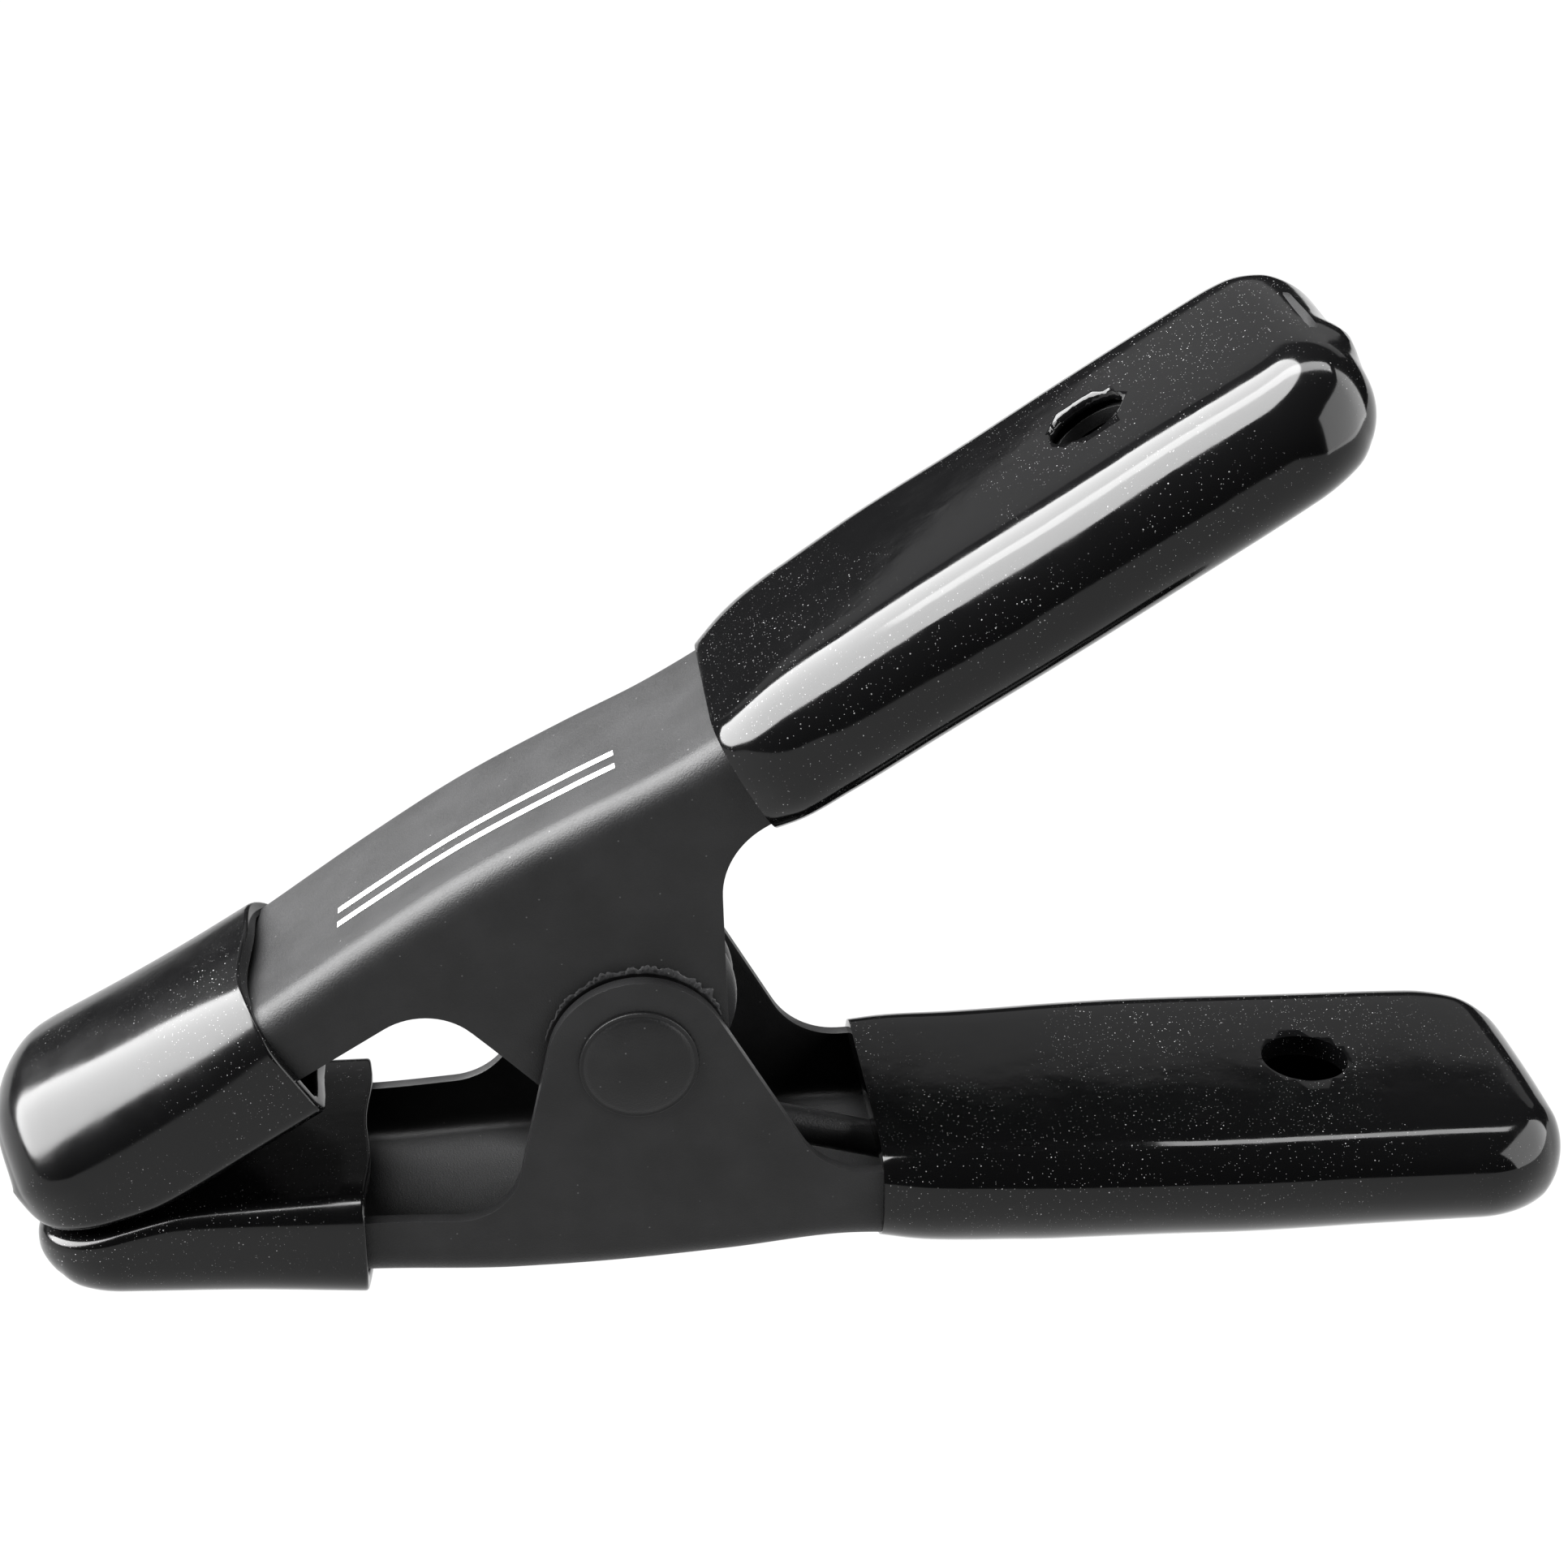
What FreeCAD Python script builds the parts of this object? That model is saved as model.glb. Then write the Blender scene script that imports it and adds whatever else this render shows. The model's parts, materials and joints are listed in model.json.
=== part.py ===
# Spring hand clamp: two pressed steel channel arms nested at a riveted pivot, a coil spring of
# round wire between them, closed-end vinyl sleeves on the handles and vinyl bags on the jaws.
# Both arms are drawn the same way about the pivot, with +x towards the handle and the web of the
# channel below the pivot. The upper arm is then turned over.
# Row frame: +X towards the handles, +Y through the pivot away from the front, +Z up.
import FreeCAD, Part
import math
import os
import PartDesign
import Sketcher
from FreeCAD import Placement, Rotation, Vector

os.makedirs("parts", exist_ok=True)
doc = FreeCAD.newDocument("spring_hand_clamp")

# ---------------------------------------------------------------- driving dimensions (mm, degrees)
DIMENSIONS = [
    ("pivot_x", -17.98, "pivot, from the middle of the clamp's length"),
    ("pivot_z", 27.35, "pivot above the table"),
    ("arms_angle", 31.1, "angle between the two arms with the jaws shut"),
    ("sheet_thick", 1.4, "pressed steel"),
    ("web_bend_outer", 3.2, "outside radius along the web"),
    ("lower_width", 30.0, "outside width of the lower channel"),
    ("upper_width", 26.4, "outside width of the upper channel, nested in the lower"),
    ("ear_radius", 9.4, "rounded top of the pivot ears"),
    ("shank_radius", 4.0, "rivet shank"),
    ("head_radius", 6.1, "rivet head"),
    ("head_height", 1.3, "rivet head dome"),
    ("wire_dia", 3.9, "spring wire"),
    ("coil_radius", 9.4, "middle of the wire in the coil"),
    ("coil_pitch", 4.0, "spring advance per turn"),
    ("coil_whole_turns", 2.0, "whole turns between the two legs"),
    ("leg_slope", 16.6, "each leg against its own arm"),
    ("leg_length", 41.0, "straight part of each leg"),
    ("grip_wall", 1.0, "vinyl under the web of the handles"),
    ("grip_width", 37.4, "outside width of the handle sleeves"),
    ("grip_round", 4.0, "rounding along the handle sleeves"),
    ("cap_wall", 1.7, "vinyl on the jaws"),
    ("lower_hole_radius", 4.75, "hang hole in the lower handle"),
    ("upper_hole_radius", 4.15, "hang hole in the upper handle"),
    ("lower_hole_x", 74.5, "lower hang hole from the pivot"),
    ("upper_hole_x", 71.8, "upper hang hole from the pivot"),
]
sheet = doc.addObject("Spreadsheet::Sheet", "Dimensions")
for row, (alias, number, words) in enumerate(DIMENSIONS, start=1):
    sheet.set("A%d" % row, words)
    sheet.set("B%d" % row, str(number))
    sheet.setAlias("B%d" % row, alias)
doc.recompute()


def dim(alias):
    return float(sheet.get(alias))


# ---------------------------------------------------------------- side profile of the pressed arm
JAW_END = -59.0
END_CORNER = 9.0          # rounded corner of each arm's end in plan
# outside of the web from the handle's end to the jaw's end
LOWER_WEB = [(98.6, -26.3), (86.0, -26.3), (74.0, -26.2), (60.0, -26.0), (42.0, -25.4), (25.0, -24.2),
             (9.0, -24.7), (-4.0, -25.3), (-16.0, -25.3), (-29.0, -25.1), (-44.0, -24.3),
             (-59.0, -23.2)]
UPPER_WEB = [(95.2, -27.6), (86.0, -27.5), (74.0, -27.2), (60.0, -26.7), (42.0, -25.8), (25.0, -24.8),
             (9.0, -25.8), (-4.0, -26.5), (-16.0, -26.3), (-29.0, -25.4), (-44.0, -24.4),
             (-59.0, -23.2)]
# open edge of the flanges and the pivot ear: corner x, corner z, corner radius
EAR_PEAK = (-3.71, 25.72)
OPEN_EDGE = [(-13.65, -17.4, 7.0), EAR_PEAK + (dim("ear_radius"),), (19.25, -14.9, 8.5),
             (26.0, -14.95, 4.0), (40.0, -16.9, 10.0)]
FLANGE_END_Z = -18.9
# open side of a handle sleeve: corner x, corner z, corner radius
LOWER_GRIP_OPEN = [(25.3, -12.8, 0.0), (60.0, -12.9, 150.0), (101.4, -15.0, 6.0)]
UPPER_GRIP_OPEN = [(25.3, -13.5, 0.0), (60.0, -13.7, 150.0), (97.8, -16.2, 6.0)]
GRIP_SKIN = [(22.0, -14.75), (25.5, -14.75), (40.0, -16.6)]
GRIP_SKIN_END_Z = -18.6
# outside of a jaw bag
CAP_RIM = -29.0
CAP_TIP = -62.4
CAP_OPEN_Z = -14.6
CAP_WEB = [(CAP_TIP, -25.1), (CAP_RIM, -27.3)]
CAP_SLACK = 0.15          # jaw bag to web
CONTACT_GAP = 0.12        # half of the gap between the shut jaw bags
FIT = 0.04                # steel to vinyl


def rounded_path(corners):
    """Lines and arcs through corners (x, y, radius); an end corner keeps radius 0."""
    pieces, start = [], corners[0][:2]
    for before, here, after in zip(corners, corners[1:], corners[2:]):
        radius = here[2] if len(here) > 2 else 0.0
        at = Vector(here[0], here[1], 0)
        to_before = (Vector(before[0], before[1], 0) - at).normalize()
        to_after = (Vector(after[0], after[1], 0) - at).normalize()
        if radius <= 0:
            pieces.append(("line", start, (at.x, at.y)))
            start = (at.x, at.y)
            continue
        half = to_before.getAngle(to_after) / 2
        reach = radius / math.tan(half)
        middle = at + (to_before + to_after).normalize() * (radius / math.sin(half) - radius)
        first, last = at + to_before * reach, at + to_after * reach
        pieces.append(("line", start, (first.x, first.y)))
        pieces.append(("arc", (first.x, first.y), (middle.x, middle.y), (last.x, last.y)))
        start = (last.x, last.y)
    pieces.append(("line", start, corners[-1][:2]))
    return pieces


def flipped(pieces):
    """The same outline turned over, for the upper arm."""
    return [(p[0],) + tuple(([(x, -z) for x, z in q] if isinstance(q, list) else (q[0], -q[1]))
                            for q in p[1:]) for p in pieces]


def sketch_on(body, plane, name, pieces):
    """A closed sketch of lines, three-point arcs, splines and circles on an origin plane."""
    sketch = body.newObject("Sketcher::SketchObject", name)
    sketch.AttachmentSupport = [(next(f for f in body.Origin.OriginFeatures
                                      if f.Role == plane), "")]
    sketch.MapMode = "FlatFace"
    for piece in pieces:
        points = [[Vector(x, y, 0) for x, y in q] if isinstance(q, list)
                  else (Vector(q[0], q[1], 0) if isinstance(q, tuple) else q)
                  for q in piece[1:]]
        if piece[0] == "line":
            sketch.addGeometry(Part.LineSegment(points[0], points[1]))
        elif piece[0] == "arc":
            sketch.addGeometry(Part.Arc(points[0], points[1], points[2]))
        elif piece[0] == "circle":
            sketch.addGeometry(Part.Circle(points[0], Vector(0, 0, 1), points[1]))
        else:
            spline = Part.BSplineCurve()
            spline.interpolate(points[0])
            sketch.addGeometry(spline)
    for k in range(len(pieces)):
        sketch.addConstraint(Sketcher.Constraint("Block", k))
    return sketch


def pad(body, name, sketch, length_expression):
    feature = body.newObject("PartDesign::Pad", name)
    feature.Profile = sketch
    feature.Midplane = True
    feature.setExpression("Length", length_expression)
    return feature


def pocket(body, name, sketch, length_expression):
    feature = body.newObject("PartDesign::Pocket", name)
    feature.Profile = sketch
    feature.Midplane = True
    feature.setExpression("Length", length_expression)
    return feature


def fillet(body, name, base, wanted, radius_expression):
    """Rounds every edge of base for which wanted(edge) is true."""
    doc.recompute()
    names = ["Edge%d" % (k + 1) for k, e in enumerate(base.Shape.Edges) if wanted(e)]
    feature = body.newObject("PartDesign::Fillet", name)
    feature.Base = (base, names)
    feature.setExpression("Radius", radius_expression)
    return feature


def place(body, upper):
    """Puts a body's own origin on the pivot and turns an upper part to the upper arm."""
    if upper:
        body.Placement = Placement(Vector(0, 0, 0), Rotation(Vector(0, -1, 0), dim("arms_angle")))
        body.setExpression("Placement.Rotation.Angle", "Dimensions.arms_angle * 1 deg")
    body.setExpression("Placement.Base.x", "Dimensions.pivot_x")
    body.setExpression("Placement.Base.z", "Dimensions.pivot_z")


def shifted(line, dz):
    return [(x, z + dz) for x, z in line]


def along_side(edge, half_width, test):
    """True for an edge that runs lengthwise at |y| = half_width and passes test(x, z)."""
    box = edge.BoundBox
    middle = edge.valueAt((edge.FirstParameter + edge.LastParameter) / 2)
    return (abs(abs(middle.y) - half_width) < 0.02 and box.YLength < 0.02
            and test(middle.x, middle.z, box))


def plan_cutter(x_straight, x_tip, half_width, corner):
    """What lies outside an end in plan: the end at x_tip is straight, with rounded corners."""
    out_x = x_tip + (4 if x_tip > x_straight else -4)
    out_y = half_width + 4
    end = rounded_path([(x_straight, -half_width), (x_tip, -half_width, corner),
                        (x_tip, half_width, corner), (x_straight, half_width)])
    return end + [("line", (x_straight, half_width), (x_straight, out_y)),
                  ("line", (x_straight, out_y), (out_x, out_y)),
                  ("line", (out_x, out_y), (out_x, -out_y)),
                  ("line", (out_x, -out_y), (x_straight, -out_y)),
                  ("line", (x_straight, -out_y), (x_straight, -half_width))]


# ---------------------------------------------------------------- arms
def arm_outline(web):
    """Closed side outline of the pressed arm."""
    end = (web[0][0], FLANGE_END_Z)
    top = rounded_path([(JAW_END, -17.4, 0.0)] + OPEN_EDGE + [end + (0.0,)])
    return top + [("line", end, web[0]), ("spline", web), ("line", web[-1], (JAW_END, -17.4))]


def channel_outline(web):
    """Closed side outline of the hollow between the flanges, open upwards and at both ends."""
    web = shifted(web, dim("sheet_thick"))
    web = [(web[0][0] + 4, web[0][1])] + web[1:-1] + [(JAW_END - 4, web[-1][1])]
    return [("line", (web[-1][0], 14), (web[0][0], 14)), ("line", (web[0][0], 14), web[0]),
            ("spline", web), ("line", web[-1], (web[-1][0], 14))]


def arm(label, width, web, hole_x, hole_radius, pivot_clearance, upper):
    body = doc.addObject("PartDesign::Body", label)
    body.Label = label
    turn = flipped if upper else (lambda pieces: pieces)
    half = dim(width) / 2
    side = sketch_on(body, "XZ_Plane", label + "_side", turn(arm_outline(web)))
    solid = pad(body, label + "_pad", side, "Dimensions." + width)
    for name, straight, tip in (("jaw", -45.0, JAW_END), ("handle", 84.0, web[0][0])):
        corners = sketch_on(body, "XY_Plane", label + "_plan_" + name,
                            plan_cutter(straight, tip, half, END_CORNER))
        solid = pocket(body, label + "_trim_" + name, corners, "120 mm")
    sign = -1 if upper else 1
    solid = fillet(body, label + "_bend", solid,
                   lambda e: along_side(e, half, lambda x, z, b: z * sign < -20 and b.XLength > 9),
                   "Dimensions.web_bend_outer")
    inside = sketch_on(body, "XZ_Plane", label + "_inside", turn(channel_outline(web)))
    solid = pocket(body, label + "_channel", inside,
                   "Dimensions.%s - 2 * Dimensions.sheet_thick" % width)
    solid = fillet(body, label + "_bend_inside", solid,
                   lambda e: along_side(e, half - dim("sheet_thick"),
                                        lambda x, z, b: z * sign < -20 and b.XLength > 9),
                   "Dimensions.web_bend_outer - Dimensions.sheet_thick")
    eye = sketch_on(body, "XZ_Plane", label + "_pivot_hole",
                    [("circle", (0, 0), dim("shank_radius") + pivot_clearance)])
    solid = pocket(body, label + "_pivot", eye, "60 mm")
    hang = sketch_on(body, "XY_Plane", label + "_hang_hole",
                     [("circle", (hole_x, 0), hole_radius)])
    solid = pocket(body, label + "_hang", hang, "120 mm")
    body.Tip = solid
    place(body, upper)
    return body


# ---------------------------------------------------------------- vinyl sleeves and bags
def block(label, outline, width, straight, tip, corner, round_edge, round_size, upper):
    """A side outline padded to width, with one end rounded in plan and its long edges rounded."""
    body = doc.addObject("PartDesign::Body", label)
    half = (dim(width[0]) + width[1]) / 2
    solid = pad(body, label + "_pad", sketch_on(body, "XZ_Plane", label + "_side", outline),
                "Dimensions.%s + %g" % width)
    corners = sketch_on(body, "XY_Plane", label + "_plan",
                        plan_cutter(straight, tip, half, corner))
    solid = pocket(body, label + "_trim", corners, "120 mm")
    if round_size:
        solid = fillet(body, label + "_round", solid,
                       lambda e: along_side(e, half, lambda x, z, b: round_edge(z)
                                            and b.XLength > 9), round_size)
    body.Tip = solid
    place(body, upper)
    return body


def hollowed(label, outer, inner):
    shell = doc.addObject("Part::Cut", label)
    shell.Label = label
    shell.Base = outer
    shell.Tool = inner
    return shell


def grip(label, width, arm_web, open_side, hole_x, hole_radius, upper):
    """Closed-end sleeve, thicker across the open side of the channel, with a hang hole."""
    turn = flipped if upper else (lambda pieces: pieces)
    sign = -1 if upper else 1
    wall = dim("grip_wall")
    tip, steel_end = open_side[-1][0], arm_web[0][0]
    grip_web = [(steel_end - 2.9, arm_web[0][1])] + arm_web[1:6]
    web = shifted(grip_web, -wall - FIT)
    outside = rounded_path(open_side + [(tip - 0.5, web[0][1] - 0.06, 4.5), web[0]])
    outside += [("spline", web), ("line", web[-1], open_side[0][:2])]
    outer = block(label + "_outside", turn(outside), ("grip_width", 0.0), 84.0, tip, 9.0,
                  lambda z: True, "Dimensions.grip_round", upper)
    hang = sketch_on(outer, "XY_Plane", label + "_hang_hole",
                     [("circle", (hole_x, 0), hole_radius)])
    outer.Tip = pocket(outer, label + "_hang", hang, "120 mm")
    inner_end = steel_end + 0.1
    web = shifted(grip_web, -FIT)
    web = [(inner_end, web[0][1])] + web[1:] + [(GRIP_SKIN[0][0], web[-1][1] + 0.05)]
    skin = GRIP_SKIN + [(inner_end, GRIP_SKIN_END_Z)]
    inside = [("line", p, q) for p, q in zip(skin, skin[1:])]
    inside += [("line", skin[-1], web[0]), ("spline", web), ("line", web[-1], skin[0])]
    inner = block(label + "_inside", turn(inside), (width, 2 * FIT), 84.0, inner_end,
                  END_CORNER, lambda z: z * sign < -21, "Dimensions.web_bend_outer", upper)
    return hollowed(label, outer, inner)


def jaw_cap(label, width, upper):
    """Closed bag over the jaw; its open-side tip is pressed flat where the two bags meet."""
    turn = flipped if upper else (lambda pieces: pieces)
    wall = dim("cap_wall")
    lean = math.tan(math.radians(dim("arms_angle") / 2))
    meet = (CAP_OPEN_Z + CONTACT_GAP) / lean
    tip_z = CAP_TIP * lean - CONTACT_GAP
    outside = rounded_path([(CAP_RIM, CAP_OPEN_Z), (meet, CAP_OPEN_Z, 10.0),
                            (CAP_TIP, tip_z, 3.0), CAP_WEB[0] + (3.5,), CAP_WEB[1]])
    outside += [("line", CAP_WEB[1], (CAP_RIM, CAP_OPEN_Z))]
    outer = block(label + "_outside", turn(outside), (width, 2 * (FIT + wall)), -45.0, CAP_TIP,
                  9.0, lambda z: True, "2.6 mm", upper)
    reach, ceiling, end = CAP_RIM + 3, CAP_OPEN_Z - wall, JAW_END - FIT
    rise = (CAP_WEB[1][1] - CAP_WEB[0][1]) / (CAP_RIM - CAP_TIP)
    rim_floor = CAP_WEB[1][1] + wall + CAP_SLACK - FIT
    floor = [(x, rim_floor + (x - CAP_RIM) * rise) for x in (end, reach)]
    inside = rounded_path([(reach, ceiling), (meet - 1.0, ceiling, 8.0),
                           (end, CAP_TIP * lean - CONTACT_GAP - wall, 0.0), floor[0] + (0.0,),
                           floor[1]])
    inside += [("line", floor[1], (reach, ceiling))]
    inner = block(label + "_inside", turn(inside), (width, 2 * FIT), -45.0, end, END_CORNER,
                  None, None, upper)
    return hollowed(label, outer, inner)


# ---------------------------------------------------------------- rivet
def rivet():
    """Shank through all four ears with a low domed head outside each lower ear."""
    body = doc.addObject("PartDesign::Body", "pivot_rivet")
    body.Label = "pivot_rivet"
    seat = dim("lower_width") / 2 + 0.02
    head, shank = dim("head_radius"), dim("shank_radius")
    rim = seat + 0.35
    dome = dim("head_height") - 0.35
    ball = (head ** 2 + dome ** 2) / (2 * dome)
    half_way = math.asin(head / ball) / 2
    middle = (ball * math.sin(half_way), rim + dome - ball * (1 - math.cos(half_way)))
    outline = [("line", (0, -rim - dome), (0, rim + dome)),
               ("arc", (0, rim + dome), middle, (head, rim)),
               ("line", (head, rim), (head, seat)), ("line", (head, seat), (shank, seat)),
               ("line", (shank, seat), (shank, -seat)), ("line", (shank, -seat), (head, -seat)),
               ("line", (head, -seat), (head, -rim)),
               ("arc", (head, -rim), (middle[0], -middle[1]), (0, -rim - dome))]
    profile = sketch_on(body, "XY_Plane", "pivot_rivet_profile", outline)
    turned = body.newObject("PartDesign::Revolution", "pivot_rivet_turned")
    turned.Profile = profile
    turned.ReferenceAxis = (profile, ["V_Axis"])
    turned.Angle = 360
    body.Tip = turned
    place(body, False)
    return body


# ---------------------------------------------------------------- spring
def spring():
    """Round wire: lower leg, coil round the rivet, upper leg, all tangent to one another."""
    radius, slope = dim("coil_radius"), dim("leg_slope")
    start = -90.0 - slope
    finish = dim("arms_angle") + 90.0 + slope
    sweep = (start - finish) % 360.0 + 360.0 * dim("coil_whole_turns")
    rise = dim("coil_pitch") * sweep / 360.0
    points = []

    def on_coil(angle, share):
        a = math.radians(angle)
        return Vector(radius * math.cos(a), rise * (share - 0.5), radius * math.sin(a))

    for away in (1.0, 0.85, 0.7, 0.55, 0.4, 0.27, 0.15, 0.06):
        tangent = Vector(math.cos(math.radians(-slope)), 0, math.sin(math.radians(-slope)))
        points.append(on_coil(start, 0.0) + tangent * (away * dim("leg_length")))
    steps = int(sweep / 15)
    points += [on_coil(start - sweep * k / steps, k / steps) for k in range(steps + 1)]
    for away in (0.06, 0.15, 0.27, 0.4, 0.55, 0.7, 0.85, 1.0):
        up = math.radians(dim("arms_angle") + slope)
        tangent = Vector(math.cos(up), 0, math.sin(up))
        points.append(on_coil(finish, 1.0) + tangent * (away * dim("leg_length")))
    centre_line = Part.BSplineCurve()
    centre_line.interpolate(points)
    path = Part.Wire([centre_line.toShape()])
    section = Part.Wire([Part.makeCircle(dim("wire_dia") / 2, points[0], points[1] - points[0])])
    feature = doc.addObject("Part::Feature", "torsion_spring")
    feature.Label = "torsion_spring"
    feature.Shape = path.makePipeShell([section], True, False)
    feature.Placement = Placement(Vector(dim("pivot_x"), 0, dim("pivot_z")), Rotation())
    return feature


parts = [
    arm("lower_arm", "lower_width", LOWER_WEB, dim("lower_hole_x"), dim("lower_hole_radius"),
        0.02, False),
    arm("upper_arm", "upper_width", UPPER_WEB, dim("upper_hole_x"), dim("upper_hole_radius"),
        0.08, True),
    grip("lower_grip", "lower_width", LOWER_WEB, LOWER_GRIP_OPEN, dim("lower_hole_x"),
         dim("lower_hole_radius"), False),
    grip("upper_grip", "upper_width", UPPER_WEB, UPPER_GRIP_OPEN, dim("upper_hole_x"),
         dim("upper_hole_radius"), True),
    jaw_cap("lower_jaw_cap", "lower_width", False),
    jaw_cap("upper_jaw_cap", "upper_width", True),
    rivet(),
    spring(),
]
doc.recompute()

for item in doc.Objects:
    if "Invalid" in item.State or "Error" in item.State:
        raise RuntimeError("%s did not recompute: %s" % (item.Name, item.State))
for part in parts:
    shape = part.Shape
    if shape.isNull() or not shape.isValid() or len(shape.Solids) != 1:
        raise RuntimeError("%s is not one valid solid" % part.Label)
    shape.exportStep(os.path.join("parts", part.Label + ".step"))
    box = shape.BoundBox
    print("%-16s x %7.2f %7.2f  y %7.2f %7.2f  z %7.2f %7.2f  volume %9.1f" % (
        part.Label, box.XMin, box.XMax, box.YMin, box.YMax, box.ZMin, box.ZMax, shape.Volume))
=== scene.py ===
import json
import math
import bpy
import bmesh
import numpy as np
from mathutils import Matrix, Vector, noise


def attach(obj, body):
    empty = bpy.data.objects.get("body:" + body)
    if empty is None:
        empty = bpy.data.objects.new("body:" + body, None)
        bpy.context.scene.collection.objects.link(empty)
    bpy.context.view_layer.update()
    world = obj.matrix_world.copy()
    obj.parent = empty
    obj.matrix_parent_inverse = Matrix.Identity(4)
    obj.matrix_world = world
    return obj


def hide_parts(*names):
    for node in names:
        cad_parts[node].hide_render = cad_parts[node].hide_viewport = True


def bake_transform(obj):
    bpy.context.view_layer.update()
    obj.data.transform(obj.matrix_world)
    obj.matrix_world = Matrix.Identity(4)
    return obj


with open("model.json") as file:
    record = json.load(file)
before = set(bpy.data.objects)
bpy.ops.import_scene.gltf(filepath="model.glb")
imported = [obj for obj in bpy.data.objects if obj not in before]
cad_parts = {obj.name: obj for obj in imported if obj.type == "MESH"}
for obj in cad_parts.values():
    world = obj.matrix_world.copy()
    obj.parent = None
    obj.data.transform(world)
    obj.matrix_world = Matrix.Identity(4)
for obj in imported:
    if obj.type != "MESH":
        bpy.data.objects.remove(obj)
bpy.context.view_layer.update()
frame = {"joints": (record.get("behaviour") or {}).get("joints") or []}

MM = 0.001
PIVOT = Vector(frame["joints"][0]["pos_m"]) / MM
ARMS_ANGLE = math.radians(31.1)

# ------------------------------------------------------------------ frames of the two arms
# Both arms are drawn about the pivot with +x to the handle and the web below. The upper arm is
# that shape turned over and then turned up by ARMS_ANGLE.


def to_row(p, upper):
    """Arm point (x, y, z) in mm to the row frame in metres."""
    x, y, z = p
    if upper:
        z = -z
        c, s = math.cos(ARMS_ANGLE), math.sin(ARMS_ANGLE)
        x, z = x * c - z * s, x * s + z * c
    return Vector((PIVOT.x + x, PIVOT.y + y, PIVOT.z + z)) * MM


def smooth(t):
    t = max(0.0, min(1.0, t))
    return t * t * (3 - 2 * t)


def curve(knots):
    """Smooth function through (x, value) knots; the slope at each comes from its neighbours."""
    xs = np.array([k[0] for k in knots], float)
    ys = np.array([k[1] for k in knots], float)
    slope = np.gradient(ys, xs)

    def value(x):
        x = min(max(x, xs[0]), xs[-1])
        i = int(min(max(np.searchsorted(xs, x) - 1, 0), len(xs) - 2))
        h = xs[i + 1] - xs[i]
        t = (x - xs[i]) / h
        return float((2 * t**3 - 3 * t**2 + 1) * ys[i] + (t**3 - 2 * t**2 + t) * h * slope[i]
                     + (-2 * t**3 + 3 * t**2) * ys[i + 1] + (t**3 - t**2) * h * slope[i + 1])
    return value


# ------------------------------------------------------------------ mesh helpers
def mesh_object(name, vertices, faces, body, upper=None):
    """Mesh piece from arm points in mm, or from row points in mm where upper is None.

    It rides the body, or none where body is None.
    """
    if upper is None:
        points = [Vector(v) * MM for v in vertices]
    else:
        points = [to_row(v, upper) for v in vertices]
    mesh = bpy.data.meshes.new(name)
    mesh.from_pydata([tuple(p) for p in points], [], faces)
    mesh.validate()
    work = bmesh.new()
    work.from_mesh(mesh)
    bmesh.ops.recalc_face_normals(work, faces=work.faces)
    work.to_mesh(mesh)
    work.free()
    piece = bpy.data.objects.new(name, mesh)
    bpy.context.scene.collection.objects.link(piece)
    for polygon in mesh.polygons:
        polygon.use_smooth = True
    if body:
        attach(piece, body)
    return piece


def settle(piece):
    """Applies the piece's modifiers."""
    dg = bpy.context.evaluated_depsgraph_get()
    mesh = bpy.data.meshes.new_from_object(piece.evaluated_get(dg))
    old = piece.data
    piece.modifiers.clear()
    piece.data = mesh
    mesh.name = piece.name
    bpy.data.meshes.remove(old)


DRILL_LEVELS = (-40.0, -5.0)    # ends of the cutting tool, beyond both sides of a handle


def drill(piece, centre, radius, upper, ragged=0.0):
    """Cuts a round hole along the arm's z axis, its edge uneven by up to ragged mm."""
    steps = 96
    rings = []
    for level in DRILL_LEVELS:
        ring = []
        for k in range(steps):
            a = 2 * math.pi * k / steps
            r = radius
            if ragged:
                for share, pitch in ((0.4, 1.9), (0.5, 6.1), (0.4, 13.0)):
                    r += ragged * share * noise.noise(Vector((math.cos(a), math.sin(a), 0.7)) * pitch)
            ring.append((centre + r * math.cos(a), r * math.sin(a), level))
        rings.append(ring)
    points = rings[0] + rings[1]
    faces = [(k, (k + 1) % steps, steps + (k + 1) % steps, steps + k) for k in range(steps)]
    faces += [tuple(range(steps)), tuple(range(2 * steps - 1, steps - 1, -1))]
    tool = mesh_object("drill_tool", points, faces, None, upper)
    cut = piece.modifiers.new("hole", "BOOLEAN")
    cut.operation = "DIFFERENCE"
    cut.solver = "EXACT"
    cut.use_self = True
    cut.object = tool
    bpy.context.view_layer.update()
    settle(piece)
    bpy.data.objects.remove(tool)


SHARP_ANGLE = math.radians(50)


def soften_edges(piece, width, wanted=lambda place: True):
    """Rounds the sharp edges whose middle, in row metres, is wanted."""
    work = bmesh.new()
    work.from_mesh(piece.data)
    weight = work.edges.layers.float.new("bevel_weight_edge")
    for edge in work.edges:
        sharp = edge.is_manifold and edge.calc_face_angle(0.0) > SHARP_ANGLE
        middle = (edge.verts[0].co + edge.verts[1].co) / 2
        edge[weight] = 1.0 if sharp and wanted(middle) else 0.0
    work.to_mesh(piece.data)
    work.free()
    bevel = piece.modifiers.new("soft_edges", "BEVEL")
    bevel.width = width * MM
    bevel.segments = 3
    bevel.limit_method = "WEIGHT"
    bpy.context.view_layer.update()
    settle(piece)
    for polygon in piece.data.polygons:
        polygon.use_smooth = True


def ring_faces(rings, closed=True):
    """Quads between successive rings of equal length."""
    n = len(rings[0])
    faces = []
    for i in range(len(rings) - 1):
        for k in range(n if closed else n - 1):
            j = (k + 1) % n
            faces.append((i * n + k, i * n + j, (i + 1) * n + j, (i + 1) * n + k))
    return faces


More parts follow.
